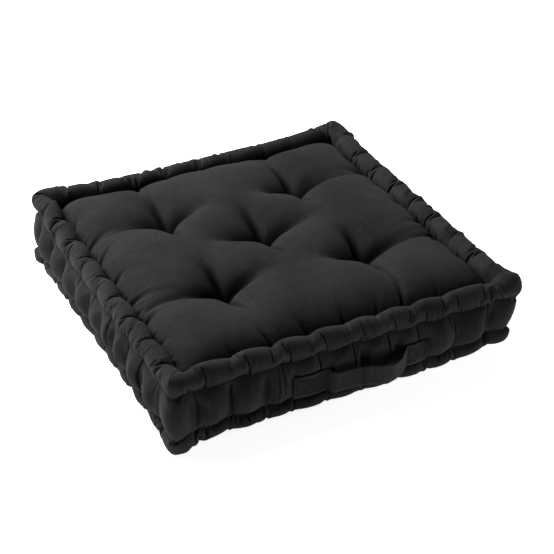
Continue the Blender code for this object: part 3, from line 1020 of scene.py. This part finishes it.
# The strap's route along the front, as (x, distance out): a sewn end, the loop, a sewn end.
STRAP_ROUTE = [
    (-0.1000, STRAP_FACE),
    (-0.0820, STRAP_FACE),
    (-0.0640, STRAP_FACE),
    (-0.0480, STRAP_FACE),
    (-0.0425, 0.3030),
    (-0.0400, 0.3090),
    (-0.0320, 0.3130),
    (-0.0120, 0.3134),
    (0.0080, 0.3152),
    (0.0250, 0.3200),
    (0.0400, 0.3250),
    (0.0520, STRAP_FAR),
    (0.0640, 0.3240),
    (0.0750, 0.3175),
    (0.0840, 0.3100),
    (0.0905, 0.3035),
    (0.0965, STRAP_FACE),
    (0.1100, STRAP_FACE),
    (0.1290, STRAP_FACE),
]


def strap_points(along=170, across=13):
    """The handle's webbing as a grid: it sags a little, and its edges curl at the bends."""
    route = np.array([(x, out, 0) for x, out in STRAP_ROUTE])[:, None]
    line = cubic(route, along, False)[:, 0]
    reach = np.clip((line[:, 1] - STRAP_FACE) / (STRAP_FAR - STRAP_FACE), 0, 1)
    run = np.concatenate([[0], np.cumsum(np.linalg.norm(np.diff(line[:, :2], axis=0), axis=1))])
    edge = np.linspace(-1, 1, across)[:, None]
    sag = 0.0042 * reach**1.5
    narrow = 1 - 0.05 * np.sin(math.pi * reach)
    z = HANDLE_Z - sag + edge * HANDLE_WIDTH / 2 * narrow
    # The lower edge hangs in towards the cushion, and the strap ripples along the bends.
    lean = 0.0050 * reach * edge
    ripple = 0.0007 * reach * np.sin(run * 145.0 + edge * 1.1)
    ripple += 0.0004 * np.sin(run * 310.0 + edge * 2.0)
    cup = 0.0010 * reach * (edge**2)
    out = line[:, 1] + lean + ripple - cup
    return np.stack([line[:, 0] + 0 * edge, -out, z], -1)


def seat_strap(points, border):
    """Lays the strap's sewn ends on the border and over its lobes."""
    front = border[:, : border.shape[1] // 4].reshape(-1, 3)
    flat = points.reshape(-1, 3)
    sewn = np.flatnonzero(-flat[:, 1] < STRAP_FACE + 0.0012)
    for i in sewn:
        apart = np.hypot(front[:, 0] - flat[i, 0], front[:, 2] - flat[i, 2])
        face = (-front[:, 1] - 0.35 * apart)[apart < 0.012].max()
        flat[i, 1] = -(face + STRAP_THICK / 2 + 0.0005)
    return points


def box_stitches(name, strap, span):
    """A sewn box with a cross in it, as separate stitches on the strap's face."""
    left, right = span
    low, high = HANDLE_Z - HANDLE_WIDTH / 2 + 0.005, HANDLE_Z + HANDLE_WIDTH / 2 - 0.005
    corners = [(left, low), (right, low), (right, high), (left, high)]
    box = list(zip(corners, corners[1:] + corners[:1]))
    lines = box + [(corners[0], corners[2]), (corners[1], corners[3])]
    flat = strap.reshape(-1, 3)
    dashes = []
    for (x0, z0), (x1, z1) in lines:
        length = math.hypot(x1 - x0, z1 - z0)
        count = round(length / 0.0034)
        for i in range(count):
            path = []
            for k in range(5):
                share = (i + 0.14 + 0.72 * k / 4) / count
                x, z = x0 + (x1 - x0) * share, z0 + (z1 - z0) * share
                nearest = flat[np.argmin((flat[:, 0] - x) ** 2 + (flat[:, 2] - z) ** 2)]
                stand = STRAP_THICK / 2 + 0.00035 - 0.0005 * abs(k - 2) / 2
                path.append((x, nearest[1] - stand, z))
            dashes.append(tube("dash", path, 0.00042, sides=5))
    return merge(name, dashes)


def tuft(name, x, y, top_z, low_z):
    """Doubled mattress twine: up through the fill, over a thread or two of the panel and back."""
    half_wide = 0.0032
    top, low = top_z + 0.0012, low_z - 0.0012
    loop = []
    for side, start, finish in ((1, top, low), (-1, low, top)):
        for k in range(9):
            a = math.pi * k / 8
            over = side * 0.0016 * math.sin(a)
            dx, dy = half_wide * math.cos(a), 0.0008 * math.sin(2 * a)
            loop.append((x + side * dx, y + side * dy, start + over))
        for k in range(1, 12):
            share = k / 12
            dx, dy = 0.0012 * math.sin(share * 9) - half_wide, -0.0006 * share
            loop.append((x + side * dx, y + side * dy, start + (finish - start) * share))
    strand = tube("strand", loop, 0.0010, sides=8, loop=True)
    knot = []
    for k in range(40):
        a = math.tau * k / 40
        r = 0.0026 + 0.0009 * math.cos(3 * a)
        z = top + 0.0020 + 0.0009 * math.sin(3 * a)
        knot.append((x + r * math.cos(2 * a), y + r * math.sin(2 * a), z))
    return merge(name, [strand, tube("knot", knot, 0.0009, sides=8, loop=True)])


# ---------------- stage


def add_camera():
    azimuth, elevation = math.radians(-26.7), math.radians(32.75)
    flat = math.cos(elevation)
    back = Vector((math.sin(azimuth) * flat, -math.cos(azimuth) * flat, math.sin(elevation)))
    right = Vector((math.cos(azimuth), math.sin(azimuth), 0))
    up = back.cross(right)
    # It looks just to the right of the cushion's middle and just below it, from this far away.
    target = MIDDLE + Vector((0, 0, 0.0633)) + right * 0.0202 - up * 0.0140
    distance = 2.660
    camera = bpy.data.objects.new("camera", bpy.data.cameras.new("camera"))
    bpy.context.scene.collection.objects.link(camera)
    camera.data.lens = 105.2
    camera.data.sensor_width = 36
    camera.location = target + back * distance
    camera.rotation_mode = "QUATERNION"
    camera.rotation_quaternion = (-back).to_track_quat("-Z", "Y")
    bpy.context.scene.camera = camera


def add_light(name, energy, size, place, target=(0, 0, 0.05)):
    light = bpy.data.lights.new(name, "AREA")
    light.energy = energy
    light.size = size
    obj = bpy.data.objects.new(name, light)
    bpy.context.scene.collection.objects.link(obj)
    obj.location = place
    obj.rotation_mode = "QUATERNION"
    obj.rotation_quaternion = (Vector(target) - Vector(place)).to_track_quat("-Z", "Y")


def add_stage():
    """A white floor that gives off some light, so that the shadow on it stays faint, and two lamps."""
    bpy.ops.mesh.primitive_plane_add(size=12, location=(0, 0, -0.0005))
    floor = bpy.context.object
    floor.name = "floor"
    g = Graph("floor")
    g.shade(Base_Color=(0.9, 0.9, 0.9, 1), Roughness=0.9)
    g.shade(Emission_Color=(1, 1, 1, 1), Emission_Strength=0.85)
    floor.data.materials.append(g.material)
    world = bpy.data.worlds.new("studio")
    world.use_nodes = True
    background = world.node_tree.nodes["Background"]
    background.inputs[0].default_value = (1, 1, 1, 1)
    background.inputs[1].default_value = 0.08
    bpy.context.scene.world = world
    add_light("key", 162, 1.7, (-1.0, 1.5, 1.55))
    add_light("fill", 42, 0.9, (2.8, -1.0, 0.5))
    bpy.context.scene.view_settings.view_transform = "Standard"


# ---------------- the cushion

add_camera()
add_stage()

with ThreadPoolExecutor(5) as pool:
    jobs = {
        "top_panel": pool.submit(simulate_panel, "top"),
        "top_roll": pool.submit(simulate_roll, "top"),
        "bottom_roll": pool.submit(simulate_roll, "bottom"),
        "border": pool.submit(simulate_border),
        "bottom_panel": pool.submit(simulate_panel, "bottom"),
    }
    shapes = {name: settle_corners(job.result().astype(float)) for name, job in jobs.items()}

cotton = woven("black_cotton", 0.0080, 0.0305, 0.0008)
webbing = woven("black_webbing", 0.0085, 0.0300, 0.0014, bump=1.3)
twine = twisted("mattress_twine", 0.010, 0.0016)
thread = twisted("sewing_thread", 0.018, 0.0006)
batting = batting_material()

batt = {
    "upper": block_under("upper_batting", shapes["top_panel"], UPPER_BATT_BOTTOM, -0.0045, 0.004),
    "lower": block_under("lower_batting", shapes["bottom_panel"], LOWER_BATT_TOP, 0.0035, 0.004),
}
for level, piece in batt.items():
    dress(piece, batting, [f"{level}_batt"])
middle = core_block("middle_batting", shapes["border"], LOWER_BATT_TOP, UPPER_BATT_BOTTOM)
dress(middle, batting, ["middle_batt"])

for level, up in UP.items():
    panel = cloth_mesh(f"{level}_panel_cloth", shapes[f"{level}_panel"], offset=-up)
    dress(panel, cotton, [f"{level}_panel"])
    flat_size(shapes[f"{level}_panel"])

    roll = shapes[f"{level}_roll"]
    middle_z = TOP_ROLL_Z if level == "top" else BOTTOM_ROLL_Z
    fill = stuffing(f"{level}_roll_stuffing", roll, middle_z)
    dress(fill, batting, [f"{level}_roll_filling"])
    ring_piece(f"{level}_roll", roll, up, 0.0060)

    inner, outer = roll[0].copy(), roll[-1].copy()
    inner[:, 2] += 0.0012 * up
    outer[:, :2] *= 1 + 0.0006 / OUTER_SEAM_OUT
    for place, line, sink in (("inner", inner, (0, 0, -0.0016 * up)), ("outer", outer, (0, 0, 0))):
        ring = seam_twine(f"{level}_{place}_twine", line, level, sink)
        dress(ring, twine, [f"{level}_{place}_stitching"])

ring_piece("border", shapes["border"], 1, 0.0050)

strap_grid = seat_strap(strap_points(), shapes["border"])
strap = cloth_mesh("handle_webbing", strap_grid, thickness=STRAP_THICK, offset=0, body=None)
dress(strap, webbing, ["handle_end_left", "handle_end_right", "handle_strap"])
flat_size(strap_grid)
for side, span in (("left", (-0.0950, -0.0510)), ("right", (0.0960, 0.1245))):
    box = box_stitches(f"handle_{side}_stitches", strap_grid, span)
    dress(box, thread, [f"handle_stitching_{side}"])

for place, (x, y) in zip(("middle", "front_left", "back_left", "front_right", "back_right"), TUFTS):
    knot = tuft(f"tuft_{place}", x, y, TOP_TUFT_Z, BOTTOM_TUFT_Z)
    dress(knot, twine, [f"tuft_twine_{place}"])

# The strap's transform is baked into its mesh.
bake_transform(strap)
